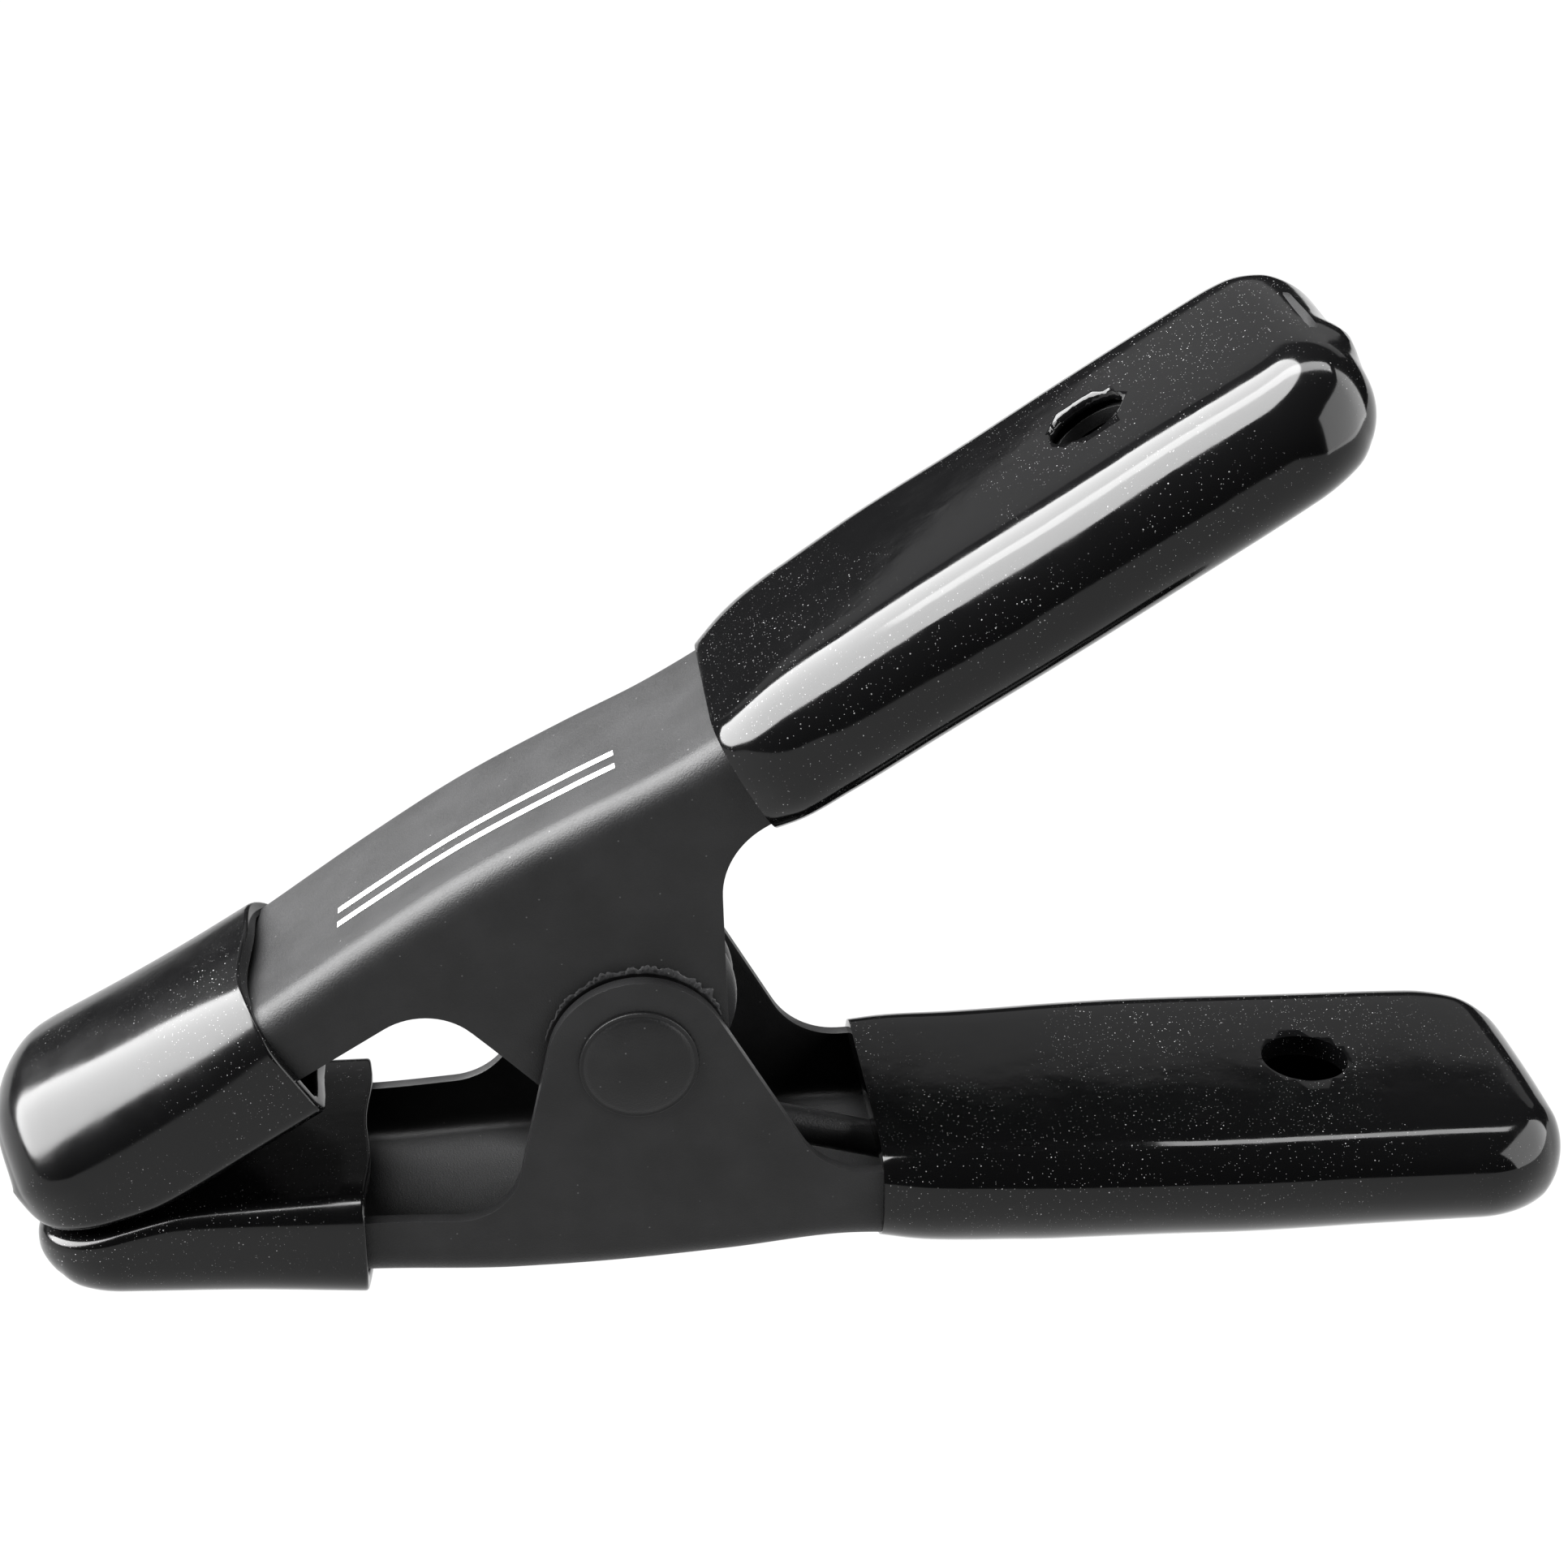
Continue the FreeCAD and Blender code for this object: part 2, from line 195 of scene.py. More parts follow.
# ------------------------------------------------------------------ pressed steel arms
SHEET = 1.4
STEEL_HOLE_EXTRA = 0.15         # how much larger a hang hole's radius is in steel than in vinyl
EAR_RADIUS = 9.4
JAW_END, END_CORNER = -59.0, 9.0
RIM = 25.3                      # open end of the handle sleeves
LOWER_ARM = {
    "handle_end": 98.6, "jaw_edge": -17.95, "lean": 0.0,
    "half": 15.0, "jaw_half": 13.95, "handle_half": 16.8,
    "web": curve([(-59, -23.2), (-44, -24.3), (-29, -25.1), (-16, -25.3), (-4, -25.3), (9, -24.7),
                  (22, -23.8), (29, -24.3), (42, -25.6), (60, -26.0), (74, -26.1), (98.6, -26.3)]),
}
UPPER_ARM = {
    "handle_end": 95.2, "jaw_edge": -17.4, "lean": 0.55,
    "half": 13.2, "jaw_half": 13.2, "handle_half": 17.2,
    "web": curve([(-59, -23.2), (-44, -24.5), (-29, -25.45), (-16, -26.25), (-4, -26.55), (9, -25.8),
                  (18, -25.0), (27, -24.9), (42, -25.8), (60, -26.7), (74, -27.2), (95.2, -27.6)]),
}


def open_edge(arm):
    """Open edge of a flange with its pivot ear: corner x, corner z, corner radius."""
    return [(JAW_END, arm["jaw_edge"], 0), (-13.65, arm["jaw_edge"], 7.0),
            (-3.71, 25.72, EAR_RADIUS), (19.25, -14.9, 8.5), (26.0, -14.95, 4.0),
            (40.0, -16.9, 10.0), (arm["handle_end"], -18.9, 0)]


def rounded_line(corners, step):
    """Points along a line with rounded corners; each corner is (x, z, radius)."""
    out = [Vector(corners[0][:2])]
    for before, corner, after in zip(corners, corners[1:], corners[2:]):
        p, a, b = (Vector(c[:2]) for c in (corner, before, after))
        u, v = (a - p).normalized(), (b - p).normalized()
        half = u.angle(v) / 2
        reach = corner[2] / math.tan(half)
        centre = p + (u + v).normalized() * (corner[2] / math.sin(half))
        start, end = p + u * reach, p + v * reach
        turn = math.pi - 2 * half
        count = max(4, int(corner[2] * turn / (step * 0.6)))
        from_a = math.atan2(*(start - centre).yx)
        to_a = math.atan2(*(end - centre).yx)
        change = (to_a - from_a + math.pi) % (2 * math.pi) - math.pi
        for k in range(count + 1):
            g = from_a + change * k / count
            out.append(centre + Vector((math.cos(g), math.sin(g))) * corner[2])
    out.append(Vector(corners[-1][:2]))
    full = [out[0]]
    for p, q in zip(out, out[1:]):
        pieces = max(1, int((q - p).length / step))
        full += [p.lerp(q, (k + 1) / pieces) for k in range(pieces)]
    return full


def end_inset(x, low, high, radius):
    """How much a plan outline rounded at both ends draws in at x."""
    d = max(low + radius - x, x - (high - radius))
    d = min(max(d, 0.0), radius * 0.985)
    return radius - math.sqrt(radius * radius - d * d)


# Where a change of the channel's section starts, along x or for the lean along z, and its length.
JAW_NARROWS, HANDLE_FLARES, HANDLE_ROUNDS = (-13.0, -16.0), (24.0, 20.0), (27.0, 20.0)
WEB_LEANS = (-6.0, -15.0)
JAW_BEND, HANDLE_BEND = 3.2, 7.2    # outside radius where the flange turns into the web


def along(place, change):
    """Share of a change that is done at a place."""
    start, length = change
    return smooth((place - start) / length)


def arm_half(arm, x, z):
    """Half of the channel's outside width."""
    half = arm["half"] + (arm["jaw_half"] - arm["half"]) * along(x, JAW_NARROWS)
    half += arm["lean"] * along(z, WEB_LEANS)
    half += (arm["handle_half"] - arm["half"] - arm["lean"]) * along(x, HANDLE_FLARES)
    return half - end_inset(x, JAW_END, arm["handle_end"], END_CORNER)


def web_bend(x):
    return JAW_BEND + (HANDLE_BEND - JAW_BEND) * along(x, HANDLE_ROUNDS)


def arm_rings(arm, inset, edge):
    """Section rings of one skin of the channel, from one flange edge over the web to the other."""
    rings = []
    length = arm["handle_end"] - JAW_END
    total = sum((q - p).length for p, q in zip(edge, edge[1:]))
    run = 0.0
    last = edge[0]
    for p in edge:
        run += (p - last).length
        last = p
        x_web = JAW_END + length * (0.5 * (p.x - JAW_END) / length + 0.5 * run / total)
        bend = web_bend(x_web)
        floor = arm["web"](x_web)
        flange = []
        for k in range(11):
            t = k / 10
            x = p.x + (x_web - p.x) * smooth(t) ** 0.8
            z = p.y + (floor + bend - p.y) * t
            flange.append((x, arm_half(arm, x, z) - inset, z))
        h = arm_half(arm, x_web, floor) - inset
        bend -= inset
        floor += inset
        corner = [(x_web, h - bend + bend * math.cos(a), floor + bend - bend * math.sin(a))
                  for a in (math.radians(90) * k / 8 for k in range(1, 9))]
        web = [(x_web, (h - bend) * (1 - k / 4), floor) for k in range(1, 5)]
        near = [(x, -y, z) for x, y, z in flange + corner + web]
        far = [(x, y, z) for x, y, z in reversed(flange + corner + web[:-1])]
        rings.append(near + far)
    return rings


def channel_arm(name, body, arm, hole_x, hole_radius, upper):
    edge = rounded_line(open_edge(arm), 1.0)
    outer = arm_rings(arm, 0.0, edge)
    inner = arm_rings(arm, SHEET, edge)
    n, m = len(outer[0]), len(outer)
    vertices = [v for ring in outer + inner for v in ring]
    faces = ring_faces(outer, closed=False)
    shift = n * m
    faces += [tuple(shift + i for i in reversed(f)) for f in faces]
    for k in (0, n - 1):
        faces += [(i * n + k, (i + 1) * n + k, shift + (i + 1) * n + k, shift + i * n + k)
                  for i in range(m - 1)]
    for i in (0, m - 1):
        faces += [(i * n + k, i * n + k + 1, shift + i * n + k + 1, shift + i * n + k)
                  for k in range(n - 1)]
    piece = mesh_object(name, vertices, faces, body, upper)
    drill(piece, hole_x, hole_radius + STEEL_HOLE_EXTRA, upper)
    soften_edges(piece, 0.28)
    return piece


# ------------------------------------------------------------------ vinyl sleeves and jaw bags
OPEN_SIDE_CROWN = 0.4           # most that a sleeve's open side swells
THINNEST = 0.8                  # least height of a section, near a closed end
LEAST_FOLD = 0.6                # least radius along a sleeve's edges
STRAIGHT_SHARE = 0.6            # share of the rings that lie before the end starts to round off
MID_HANDLE_Z = -20.5
RIM_REACH, HOLE_REACH = 3.0, 5.0    # how far from a rim or a hole's edge corners are rounded


def rounded_section(half, top, bottom, r_top, r_bottom, crown):
    """Closed ring (y, z): rounded rectangle, with its own radius at top and at bottom."""
    tall = top - bottom
    r_top = min(r_top, half * 0.96, tall * 0.46)
    r_bottom = min(r_bottom, half * 0.96, tall - r_top - 0.4)
    ring = []

    def arc(cy, cz, r, start):
        for k in range(11):
            a = math.radians(start + 90 * k / 10)
            ring.append((cy + r * math.cos(a), cz + r * math.sin(a)))

    def run(a, b, count):
        for k in range(1, count):
            t = k / count
            ring.append((a[0] + (b[0] - a[0]) * t, a[1] + (b[1] - a[1]) * t))

    arc(half - r_top, top - r_top, r_top, 0)
    run((half - r_top, top), (-half + r_top, top), 12)
    arc(-half + r_top, top - r_top, r_top, 90)
    run((-half, top - r_top), (-half, bottom + r_bottom), 4)
    arc(-half + r_bottom, bottom + r_bottom, r_bottom, 180)
    run((-half + r_bottom, bottom), (half - r_bottom, bottom), 12)
    arc(half - r_bottom, bottom + r_bottom, r_bottom, 270)
    run((half, bottom + r_bottom), (half, top - r_top), 4)
    middle = (top + bottom) / 2
    out = []
    for y, z in ring:
        full = crown if z < middle else min(crown, OPEN_SIDE_CROWN)
        sink = full * (y / half) ** 2 * abs((z - middle) / (top - middle))
        out.append((y, z - sink if z > middle else z + sink))
    return out


def closed_inset(radius, from_end):
    """How much an outline rounded at the closed end draws in, at a distance from that end."""
    d = min(max(0.0, radius - from_end), radius * 0.9995)
    return radius - math.sqrt(radius * radius - d * d)


def sleeve_rings(spec, inset_side, inset_top, inset_bottom, start, end, steps):
    """Rings of one skin. Insets are the wall thicknesses taken off the outside."""
    rings = []
    sign = 1 if end > start else -1
    tip = spec["plan_round"]
    tip_share = tip / abs(end - start)
    for i in range(steps + 1):
        t = i / steps
        if t < STRAIGHT_SHARE:
            x = start + (end - start) * (1 - tip_share) * (t / STRAIGHT_SHARE)
        else:
            a = math.radians(90) * (t - STRAIGHT_SHARE) / (1 - STRAIGHT_SHARE)
            x = end - sign * tip * (1 - math.sin(a))
        plan_in, open_in, web_in = (closed_inset(spec[key], abs(end - x))
                                    for key in ("plan_round", "open_round", "web_round"))
        top = spec["open"](x) - inset_top - open_in
        bottom = spec["web"](x) + inset_bottom + web_in
        if top - bottom < THINNEST:
            middle = (top + bottom) / 2
            top, bottom = middle + THINNEST / 2, middle - THINNEST / 2
        r_open, r_web = (max(LEAST_FOLD, spec[key](x) - inset_side) for key in ("r_open", "r_web"))
        half = spec["half"](x) - inset_side - plan_in
        section = rounded_section(half, top, bottom, r_open, r_web, spec["crown"](x))
        rings.append([(x, y, z) for y, z in section])
    return rings


def close_end(rings):
    """Adds shrinking rings over the flat that is left at a closed end."""
    last = rings[-1]
    centre = [sum(p[k] for p in last) / len(last) for k in range(3)]
    for share in (0.86, 0.72, 0.58, 0.44, 0.3, 0.16, 0.05):
        rings.append([tuple(c + (p - c) * share for p, c in zip(q, centre)) for q in last])
    return rings


def sleeve(name, body, spec, upper, hole=None):
    """Closed-end vinyl sleeve: outer skin, rolled rim and inner skin in one closed mesh."""
    start, end = spec["rim"], spec["tip"]
    outer = close_end(sleeve_rings(spec, 0, 0, 0, start, end, 100))
    sign = 1 if end > start else -1
    inner_end = end - sign * spec["tip_wall"]
    inner = close_end(sleeve_rings(spec, spec["wall"], spec["wall_open"], spec["wall_web"],
                                   start, inner_end, 60))
    for rings in (outer, inner):
        for ring in rings:
            for k, (x, y, z) in enumerate(ring):
                fade = max(0.0, 1 - abs(x - start) / 14.0)
                ring[k] = (x + spec["rim_skew"](y, z) * fade, y, z)
    outer = [[spec["shape"](p) for p in ring] for ring in outer]
    n = len(outer[0])
    vertices = [v for ring in outer + inner for v in ring]
    faces = ring_faces(outer)
    shift = n * len(outer)
    faces += [tuple(shift + i for i in reversed(f)) for f in ring_faces(inner)]
    faces += [(k, (k + 1) % n, shift + (k + 1) % n, shift + k) for k in range(n)]
    faces.append(tuple(range(shift - n, shift)))
    faces.append(tuple(range(shift + n * (len(inner) - 1), shift + n * len(inner))))
    piece = mesh_object(name, vertices, faces, body, upper)
    if hole:
        drill(piece, hole[0], hole[1], upper, hole[2])
        hole_at = to_row((hole[0], 0, MID_HANDLE_Z), upper)
    rim_at = to_row((start, 0, MID_HANDLE_Z), upper)
    lengthwise = (to_row((1, 0, 0), upper) - to_row((0, 0, 0), upper)).normalized()

    def at_rim_or_hole(place):
        if abs((place - rim_at).dot(lengthwise)) < RIM_REACH * MM:
            return True
        return bool(hole) and (place - hole_at).length < (hole[1] + HOLE_REACH) * MM

    soften_edges(piece, spec["soft"], at_rim_or_hole)
    return piece


def ripple(p, size, scale, seed):
    """Slow uneven swell of dipped vinyl, mm."""
    q = Vector(p) / scale + Vector((seed, seed * 1.7, seed * 0.3))
    return size * noise.noise(q)


# ------------------------------------------------------------------ materials
class Nodes:
    """Small builder for a node material."""

    def __init__(self, name):
        self.material = bpy.data.materials.new(name)
        self.material.use_nodes = True
        self.tree = self.material.node_tree
        self.shader = self.tree.nodes["Principled BSDF"]
        self.place = self.add("ShaderNodeTexCoord").outputs["Object"]

    def add(self, kind, **settings):
        node = self.tree.nodes.new(kind)
        for key, value in settings.items():
            setattr(node, key, value)
        return node

    def link(self, a, b):
        self.tree.links.new(a, b)

    def noise(self, scale, detail=2.0, rough=0.5):
        node = self.add("ShaderNodeTexNoise")
        node.inputs["Scale"].default_value = scale
        node.inputs["Detail"].default_value = detail
        node.inputs["Roughness"].default_value = rough
        self.link(self.place, node.inputs["Vector"])
        return node.outputs["Fac"]

    def ramp(self, value, low, high, out_low=0.0, out_high=1.0):
        node = self.add("ShaderNodeMapRange")
        node.inputs["From Min"].default_value = low
        node.inputs["From Max"].default_value = high
        node.inputs["To Min"].default_value = out_low
        node.inputs["To Max"].default_value = out_high
        self.link(value, node.inputs["Value"])
        return node.outputs["Result"]

    def math(self, operation, a, b):
        node = self.add("ShaderNodeMath", operation=operation)
        for k, v in enumerate((a, b)):
            if isinstance(v, (int, float)):
                node.inputs[k].default_value = v
            else:
                self.link(v, node.inputs[k])
        return node.outputs[0]

    def mix(self, share, a, b):
        node = self.add("ShaderNodeMix", data_type="RGBA")
        for value, socket in ((share, node.inputs[0]), (a, node.inputs[6]), (b, node.inputs[7])):
            if isinstance(value, tuple):
                socket.default_value = (*value, 1.0)
            else:
                self.link(value, socket)
        return node.outputs[2]

    def bump(self, height, strength, distance, normal=None):
        node = self.add("ShaderNodeBump")
        node.inputs["Strength"].default_value = strength
        node.inputs["Distance"].default_value = distance * MM
        self.link(height, node.inputs["Height"])
        if normal is not None:
            self.link(normal, node.inputs["Normal"])
        return node.outputs["Normal"]

    def specks(self, scale, size, chance):
        """Small round dots, a share of the cells of a Voronoi pattern."""
        cells = self.add("ShaderNodeTexVoronoi", feature="F1")
        cells.inputs["Scale"].default_value = scale
        self.link(self.place, cells.inputs["Vector"])
        dot = self.ramp(cells.outputs["Distance"], size, size * 0.5)
        shade = self.add("ShaderNodeSeparateColor")
        self.link(cells.outputs["Color"], shade.inputs[0])
        keep = self.ramp(shade.outputs[0], 1 - chance, 1 - chance * 0.6)
        return self.math("MULTIPLY", dot, keep)

    def set(self, **values):
        for key, value in values.items():
            socket = self.shader.inputs[key.replace("_", " ")]
            if hasattr(value, "is_output"):
                self.link(value, socket)
            elif isinstance(value, tuple):
                socket.default_value = (*value, 1.0)
            else:
                socket.default_value = value


def coated_steel(name, rough=0.46, base=(0.0095, 0.0095, 0.0098)):
    """Powder coat: fine grain, faint mottling, a little dust."""
    n = Nodes(name)
    grain = n.noise(scale=5200.0, rough=0.6)
    mottle = n.noise(scale=160.0, detail=4.0, rough=0.55)
    darker, lighter = (tuple(c * share for c in base) for share in (0.8, 1.25))
    tint = n.mix(n.ramp(mottle, 0.35, 0.65), darker, lighter)
    dust = n.specks(scale=1500.0, size=0.16, chance=0.06)
    tint = n.mix(n.math("MULTIPLY", dust, 0.35), tint, (0.2, 0.2, 0.2))
    swell = n.bump(mottle, strength=0.05, distance=0.4)
    n.set(Roughness=n.ramp(grain, 0.3, 0.7, rough - 0.06, rough + 0.06),
          Base_Color=tint, Normal=n.bump(grain, strength=0.45, distance=0.08, normal=swell))
    n.shader.inputs["IOR"].default_value = 1.33
    return n.material


def vinyl(name, rough=0.09):
    """Glossy dipped vinyl with orange peel, and dust in patches."""
    n = Nodes(name)
    peel = n.noise(scale=420.0)
    slow = n.noise(scale=70.0)
    coarse = n.specks(scale=2400.0, size=0.2, chance=0.10)
    fine = n.specks(scale=4600.0, size=0.24, chance=0.2)
    dust = n.math("MAXIMUM", coarse, n.math("MULTIPLY", fine, 0.7))
    patches = n.ramp(n.noise(scale=55.0, detail=3.0, rough=0.6), 0.42, 0.62)
    dust = n.math("MULTIPLY", dust, patches)
    tint = n.mix(n.math("MULTIPLY", dust, 0.85), (0.0019, 0.0019, 0.002), (0.4, 0.4, 0.4))
    haze = n.noise(scale=260.0, detail=3.0, rough=0.6)
    swell = n.bump(slow, strength=0.12, distance=0.6)
    n.set(Base_Color=tint, Roughness=n.ramp(haze, 0.3, 0.7, rough - 0.025, rough + 0.035),
          Normal=n.bump(peel, strength=0.10, distance=0.10, normal=swell))
    n.shader.inputs["IOR"].default_value = 1.36
    return n.material


steel = coated_steel("powder_coated_steel")
# The rivet uses the arms' powder coat with a darker base colour. That darker base is painted shade,
# standing in for the glossy dished head reflecting dark surroundings. Its lower roughness is real
# gloss.
rivet_coat_painted_darker = coated_steel("powder_coated_rivet", 0.34, (0.007, 0.007, 0.0072))
spring_coat = coated_steel("coated_spring_wire", 0.36, (0.014, 0.014, 0.0145))
scuffed_paint = coated_steel("scuffed_paint", 0.38, (0.03, 0.03, 0.031))
white_print = coated_steel("white_print", 0.5, (0.72, 0.72, 0.72))
grip_vinyl = vinyl("grip_vinyl")
cap_vinyl = vinyl("jaw_vinyl", 0.17)

# ------------------------------------------------------------------ arms
LOWER_HOLE, UPPER_HOLE = (74.5, 4.75), (71.8, 4.15)     # hang holes: x, radius
lower_arm = channel_arm("lower_arm_pressing", "lower", LOWER_ARM, *LOWER_HOLE, False)
upper_arm = channel_arm("upper_arm_pressing", "upper", UPPER_ARM, *UPPER_HOLE, True)
for piece, node in ((lower_arm, "lower_arm"), (upper_arm, "upper_arm")):
    piece.data.materials.append(steel)
    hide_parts(node)

# ------------------------------------------------------------------ scuffed paint and printed mark
RIDGE_ARC = (math.radians(26), math.radians(166))
RIDGE_RADIUS = EAR_RADIUS + 0.08
RIDGE_HEIGHT = 0.30


def scuff_ridge():
    """Paint that the lower ear has pushed up in a ragged arc on the near upper flange."""
    first, last = RIDGE_ARC
    steps = 260
    face = UPPER_ARM["half"] - 0.02
    rings = []
    for k in range(steps + 1):
        share = k / steps
        a = first + (last - first) * share
        c, s = math.cos(a), math.sin(a)
        fade = smooth(share / 0.12) * smooth((1 - share) / 0.3)
        rough = [noise.noise(Vector((c, s, 0.3 + 0.4 * j)) * pitch)
                 for j, pitch in enumerate((9.0, 23.0, 61.0))]
        wide = (0.25 + 0.75 * fade) * (0.85 + 0.5 * rough[0] + 0.4 * rough[1])
        tall = RIDGE_HEIGHT * (0.35 + 0.65 * fade)
        heights = (0.0, tall, tall * (0.5 + 0.5 * rough[2]), tall * (0.75 + 0.6 * rough[1]), 0.0)
        ring = []
        for j, height in enumerate(heights):
            r = RIDGE_RADIUS + wide * j / 4
            ring.append((r * c + PIVOT.x, -face - height, r * s + PIVOT.z))
        rings.append(ring)
    vertices = [v for ring in rings for v in ring]
    piece = mesh_object("scuffed_paint_ridge", vertices, ring_faces(rings, closed=False), "upper")
    piece.data.materials.append(scuffed_paint)
    return piece


STRIPES = ((-5.6, -4.5), (-2.6, -1.5))      # across the web, the two edges of each
STRIPE_START, STRIPE_LENGTH = -19.0, 33.0
PRINT_HEIGHT = 0.06


def printed_stripes():
    """Two plain stripes printed along the upper web."""
    vertices, faces = [], []
    steps = 24
    for low, high in STRIPES:
        first = len(vertices)
        for k in range(steps + 1):
            x = STRIPE_START + STRIPE_LENGTH * k / steps
            z = UPPER_ARM["web"](x) - PRINT_HEIGHT
            vertices += [(x, low, z), (x, high, z)]
        for k in range(first, first + 2 * steps, 2):
            faces.append((k, k + 1, k + 3, k + 2))
    piece = mesh_object("printed_stripes", vertices, faces, "upper", True)
    piece.data.materials.append(white_print)
    return piece


scuff_ridge()
printed_stripes()

# ------------------------------------------------------------------ grips
LOWER_GRIP = {
    "rim": RIM, "tip": 101.2, "plan_round": 10.5, "open_round": 5.6, "web_round": 5.6,
    "seed": 2.0, "nub": 0.0, "skew": 0.0,
    "half": curve([(RIM, 16.2), (28, 16.8), (37, 17.4), (50, 18.2), (62, 18.6), (85, 18.4),
                   (101.6, 18.2)]),
    "open": curve([(RIM, -12.9), (32, -12.7), (45, -12.75), (60, -13.1), (76, -13.5), (90, -13.9),
                   (101.6, -14.4)]),
    "web": curve([(RIM, -25.0), (30, -25.8), (37, -26.7), (50, -27.0), (76, -27.15), (101.6, -27.2)]),
}
UPPER_GRIP = {
    "rim": RIM, "tip": 97.0, "plan_round": 10.0, "open_round": 5.0, "web_round": 7.0,
    "seed": 9.0, "nub": 0.9, "skew": 0.045,
    "half": curve([(RIM, 15.3), (28, 16.9), (34, 18.3), (44, 19.1), (60, 19.3), (85, 19.3),
                   (98, 19.0)]),
    "open": curve([(RIM, -13.5), (32, -13.8), (45, -14.2), (60, -14.4), (76, -14.8), (88, -15.2),
                   (98, -15.7)]),
    "web": curve([(RIM, -26.0), (32, -27.4), (42, -28.2), (60, -28.7), (76, -29.1), (98, -29.2)]),
}


def end_shift(p, shape):
    """Slant of the closed end, and the small nub left on it where the vinyl dripped off, mm in x."""
    at = Vector(p) - Vector((shape["tip"] - 0.6, -4.5, -24.3))
    nub = shape["nub"] * math.exp(-(at.x ** 2 + at.y ** 2 + at.z ** 2) / 9.0)
    return nub + shape["skew"] * p[1] * smooth((p[0] - 60.0) / 35.0)


def grip(name, body, shape, hole, upper):
    seed = shape["seed"]
    spec = dict(shape)
    spec.update({
        "wall": 1.0, "wall_open": 2.4, "wall_web": 1.0,
        "tip_wall": 2.4, "soft": 0.3, "rim_skew": lambda y, z: 0.0,
        "r_open": curve([(RIM, 4.0), (32, 4.8), (60, 5.2), (102, 5.4)]),
        "r_web": curve([(RIM, 6.4), (30, 7.2), (38, 8.4), (102, 8.6)]),
        "crown": curve([(RIM, 0.05), (45, 0.35), (102, 0.4)]),
        "shape": lambda p: (p[0] + end_shift(p, shape), p[1] * (1 + ripple(p, 0.006, 14.0, seed)),
                            p[2] + ripple(p, 0.08, 16.0, seed + 3)),
    })
    return sleeve(name, body, spec, upper, hole)


lower_grip = grip("lower_grip_sleeve", "lower", LOWER_GRIP, (*LOWER_HOLE, 0.0), False)
upper_grip = grip("upper_grip_sleeve", "upper", UPPER_GRIP, (*UPPER_HOLE, 0.25), True)
for piece, node in ((lower_grip, "lower_grip"), (upper_grip, "upper_grip")):
    piece.data.materials.append(grip_vinyl)
    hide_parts(node)

# ------------------------------------------------------------------ jaw bags
LEAN = math.tan(ARMS_ANGLE / 2)     # slope of the line between the arms, where the bags meet
CAP_TIP = -63.0


def pressed_flat(level, reach):
    """Open side of a jaw bag: level, then along the line where the bags meet, moved by reach."""
    def value(x):
        flat = x * LEAN + reach
        low, high = min(flat, level), max(flat, level)
        return low - 0.25 * math.exp(-(high - low) / 0.6)
    return value


LOWER_BAG = {
    "rim": -28.5, "open_side": (-14.6, -1.2), "open_round": 1.6, "web_round": 4.6, "seed": 4.0,
    "half": curve([(-63, 16.0), (-45, 15.7), (-29, 15.9)]),
    "web": curve([(-63, -25.2), (-45, -26.4), (-29, -27.3)]),
    "r_open": curve([(-63, 1.0), (-48, 1.8), (-28.5, 3.0)]),
    "r_web": curve([(-63, 5.4), (-38, 5.4), (-28.5, 5.0)]),
    "crown": curve([(-63, 0.2), (-29, 0.0)]),
}
UPPER_BAG = {
    "rim": -29.6, "open_side": (-12.8, 0.95), "open_round": 2.6, "web_round": 7.0, "seed": 7.0,
    "half": curve([(-63, 16.2), (-45, 15.8), (-29, 15.3)]),
    "web": curve([(-63, -29.8), (-56, -29.6), (-44, -28.7), (-29, -28.0)]),
    "r_open": curve([(-63, 2.2), (-29.6, 1.8)]),
    "r_web": curve([(-63, 9.2), (-44, 8.6), (-36, 8.2), (-29.6, 7.2)]),
    "crown": curve([(-63, 4.2), (-51, 3.4), (-40, 2.4), (-29, 1.5)]),
}


def jaw_bag(name, body, shape, upper):
    seed = shape["seed"]
    spec = dict(shape)
    spec.update({
        "tip": CAP_TIP, "tip_wall": 2.5, "plan_round": 9.0, "soft": 0.35,
        "wall": 1.6, "wall_open": 1.7, "wall_web": 1.7,
        "open": pressed_flat(*shape["open_side"]),
        "rim_skew": lambda y, z: 0.25 * math.sin(0.4 * y + seed) + 0.02 * (z + 20),
        "shape": lambda p: (p[0], p[1] * (1 + ripple(p, 0.008, 11.0, seed)),
                            p[2] + (ripple(p, 0.12, 12.0, seed + 5) if p[2] < -20 else 0.0)),
    })
    return sleeve(name, body, spec, upper)


lower_cap = jaw_bag("lower_jaw_bag", "lower", LOWER_BAG, False)
upper_cap = jaw_bag("upper_jaw_bag", "upper", UPPER_BAG, True)
for piece, node in ((lower_cap, "lower_jaw_cap"), (upper_cap, "upper_jaw_cap")):
    piece.data.materials.append(cap_vinyl)
    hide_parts(node)

# ------------------------------------------------------------------ rivet
SEAT = 15.02                    # underside of each head, from the middle of the clamp
SHANK, HEAD, HEAD_HEIGHT = 4.0, 6.1, 1.3


def rivet_profile():
    """(radius, height) of a pressed head: a low dome, a shallow groove and a rounded rim."""
    line = [(HEAD * k / 14 * 0.9, HEAD_HEIGHT - 0.78 * (k / 14) ** 2.1) for k in range(15)]
    line += [(5.62, 0.40), (5.75, 0.34), (5.88, 0.36), (5.98, 0.40), (6.06, 0.36)]
    return line + [(HEAD, 0.26), (HEAD, 0.0)]


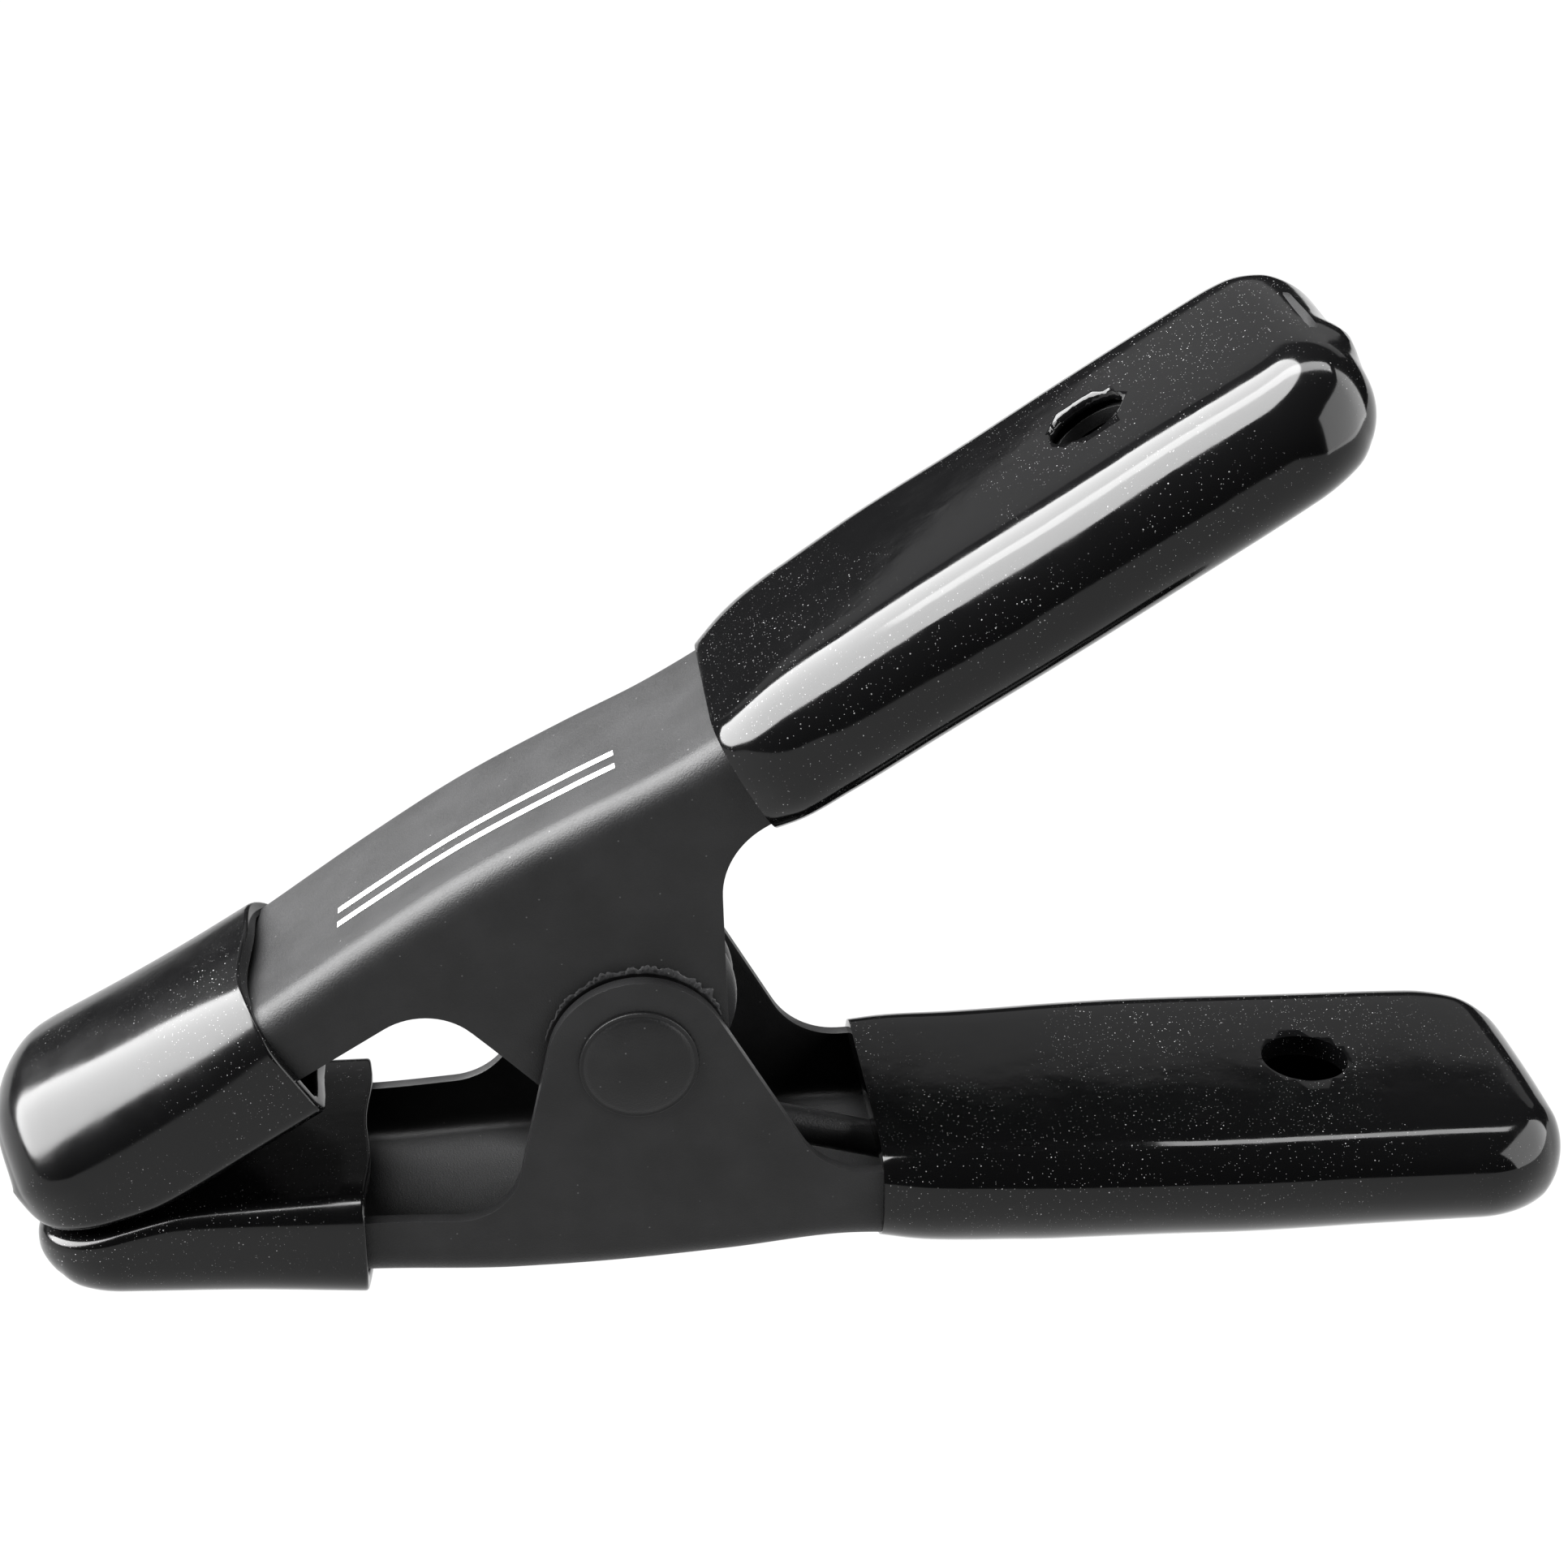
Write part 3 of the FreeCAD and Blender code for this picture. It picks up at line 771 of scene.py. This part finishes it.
def rivet():
    turns = 96
    head = rivet_profile()
    line = [(r, -SEAT - h) for r, h in head] + [(SHANK, -SEAT), (SHANK, 0.0), (SHANK, SEAT)]
    line += [(r, SEAT + h) for r, h in reversed(head)]
    rings = []
    for r, y in line[1:-1]:
        angles = [2 * math.pi * k / turns for k in range(turns)]
        rings.append([(r * math.cos(a), y, r * math.sin(a)) for a in angles])
    vertices = [v for ring in rings for v in ring] + [(0, line[0][1], 0), (0, line[-1][1], 0)]
    faces = ring_faces(rings)
    a, b = len(vertices) - 2, len(vertices) - 1
    shift = turns * (len(rings) - 1)
    faces += [(k, (k + 1) % turns, a) for k in range(turns)]
    faces += [(shift + (k + 1) % turns, shift + k, b) for k in range(turns)]
    return mesh_object("rivet_domed", vertices, faces, "lower", False)


rivet_piece = rivet()
rivet_piece.data.materials.append(rivet_coat_painted_darker)
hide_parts("pivot_rivet")

# ------------------------------------------------------------------ torsion spring
WIRE = 3.9
COIL, PITCH = 9.4, 4.0          # the centre line's radius, and its rise in a turn
SLOPE, LEG = 16.6, 41.0         # the legs' angle from their arm in degrees, and their length


def spring_path():
    """Centre line about the pivot: lower leg, coil, upper leg."""
    start = math.radians(-90 - SLOPE)
    finish = math.radians(90 + SLOPE) + ARMS_ANGLE
    sweep = (start - finish) % (2 * math.pi) + 4 * math.pi
    rise = PITCH * sweep / (2 * math.pi)

    def coil(share):
        a = start - sweep * share
        return Vector((COIL * math.cos(a), rise * (share - 0.5), COIL * math.sin(a)))

    low = Vector((math.cos(math.radians(-SLOPE)), 0, math.sin(math.radians(-SLOPE))))
    up_angle = ARMS_ANGLE + math.radians(SLOPE)
    high = Vector((math.cos(up_angle), 0, math.sin(up_angle)))
    coil_steps, leg_steps, smoothings = 150, 24, 3
    path = [coil(0) + low * (LEG * (1 - k / leg_steps)) for k in range(leg_steps)]
    path += [coil(k / coil_steps) for k in range(coil_steps + 1)]
    path += [coil(1) + high * (LEG * (k + 1) / leg_steps) for k in range(leg_steps)]
    for _ in range(smoothings):
        middle = [(a + b * 2 + c) / 4 for a, b, c in zip(path, path[1:], path[2:])]
        path = [path[0]] + middle + [path[-1]]
    return path


def tube(name, path, radius):
    sides = 24
    rings = []
    up = Vector((0, 1, 0))
    for i, p in enumerate(path):
        ahead = (path[min(i + 1, len(path) - 1)] - path[max(i - 1, 0)]).normalized()
        side = ahead.cross(up).normalized()
        up = side.cross(ahead).normalized()
        ring = []
        for k in range(sides):
            a = 2 * math.pi * k / sides
            ring.append(tuple(p + (side * math.cos(a) + up * math.sin(a)) * radius))
        rings.append(ring)
    vertices = [v for ring in rings for v in ring]
    faces = ring_faces(rings)
    faces.append(tuple(range(sides)))
    faces.append(tuple(range(sides * (len(rings) - 1), sides * len(rings))))
    return mesh_object(name, vertices, faces, None, False)


spring = tube("torsion_spring_wire", spring_path(), WIRE / 2)
soften_edges(spring, 0.3)
spring.data.materials.append(spring_coat)
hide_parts("torsion_spring")
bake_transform(spring)

# ------------------------------------------------------------------ floor, light, camera
FLOOR_REACH, FLOOR_LEVEL = 6, -2e-5
floor_mesh = bpy.data.meshes.new("floor")
corners = [(-FLOOR_REACH, -FLOOR_REACH), (FLOOR_REACH, -FLOOR_REACH),
           (FLOOR_REACH, FLOOR_REACH), (-FLOOR_REACH, FLOOR_REACH)]
floor_mesh.from_pydata([(x, y, FLOOR_LEVEL) for x, y in corners], [], [(0, 1, 2, 3)])
floor = bpy.data.objects.new("floor", floor_mesh)
bpy.context.scene.collection.objects.link(floor)
floor_look = Nodes("pale_floor")
floor_look.set(Base_Color=(0.82, 0.82, 0.82), Roughness=0.9)
floor_look.shader.inputs["Specular IOR Level"].default_value = 0.2
floor.data.materials.append(floor_look.material)

not_floor = bpy.data.collections.new("everything_but_the_floor")
not_floor.objects.link(floor)
not_floor.collection_objects[0].light_linking.link_state = "EXCLUDE"
only_floor = bpy.data.collections.new("only_the_floor")
only_floor.objects.link(floor)


def area_light(name, direction, distance, size, radiance, shape):
    """Flat light facing the clamp, its width level. Its power follows from its radiance and area."""
    data = bpy.data.lights.new(name, "AREA")
    data.shape = shape
    data.size, data.size_y = size
    area = size[0] * size[1] * (math.pi / 4 if shape == "ELLIPSE" else 1.0)
    data.energy = radiance * math.pi * area
    lamp = bpy.data.objects.new(name, data)
    bpy.context.scene.collection.objects.link(lamp)
    away = Vector(direction).normalized()
    level = Vector((1, 0, 0)) if abs(away.x) < 0.8 else Vector((0, 1, 0))
    wide = (level - away * level.dot(away)).normalized()
    turn = Matrix((wide, away.cross(wide), away)).transposed().to_4x4()
    lamp.matrix_world = Matrix.Translation(away * distance + Vector((0, 0, 0.04))) @ turn
    lamp.light_linking.receiver_collection = not_floor


area_light("overhead_softbox", (-0.62, 0.16, 0.77), 0.85, (1.8, 1.0), 22.0, "ELLIPSE")
area_light("overhead_strip", (-0.02, 0.2, 0.98), 1.0, (1.5, 0.2), 11.0, "RECTANGLE")
area_light("back_glow", (0.0, 0.9, 0.42), 1.5, (2.6, 0.34), 0.36, "RECTANGLE")
area_light("right_softbox", (0.95, -0.2, 0.3), 1.2, (1.5, 1.3), 4.6, "RECTANGLE")

# The sun lights the floor alone and nothing stands in its way, so the floor is white all over.
sun_data = bpy.data.lights.new("even_floor_light", "SUN")
sun_data.energy = 4.1
sun_data.angle = math.radians(60)
sun = bpy.data.objects.new("even_floor_light", sun_data)
bpy.context.scene.collection.objects.link(sun)
sun.light_linking.receiver_collection = only_floor
sun.light_linking.blocker_collection = only_floor

world = bpy.data.worlds.new("studio")
bpy.context.scene.world = world
world.use_nodes = True
world.node_tree.nodes["Background"].inputs[0].default_value = (0.5, 0.5, 0.5, 1)
world.node_tree.nodes["Background"].inputs[1].default_value = 0.03

SENSOR, LENS = 36.0, 67.0807
CAMERA_FROM_PIVOT = Vector((-13.5, -269.9, 155.1))
CAMERA_RIGHT, CAMERA_UP = Vector((0.99375, -0.11154, -0.00182)), Vector((0.05028, 0.43326, 0.89986))
camera_data = bpy.data.cameras.new("camera")
camera_data.sensor_width = SENSOR
camera_data.lens = LENS
camera = bpy.data.objects.new("camera", camera_data)
bpy.context.scene.collection.objects.link(camera)
axes = Matrix((CAMERA_RIGHT, CAMERA_UP, CAMERA_RIGHT.cross(CAMERA_UP)))
turn = axes.transposed().to_4x4()
camera.matrix_world = Matrix.Translation((PIVOT + CAMERA_FROM_PIVOT) * MM) @ turn
camera_data.clip_start, camera_data.clip_end = 0.01, 20.0
bpy.context.scene.camera = camera
bpy.context.scene.view_settings.view_transform = "Standard"
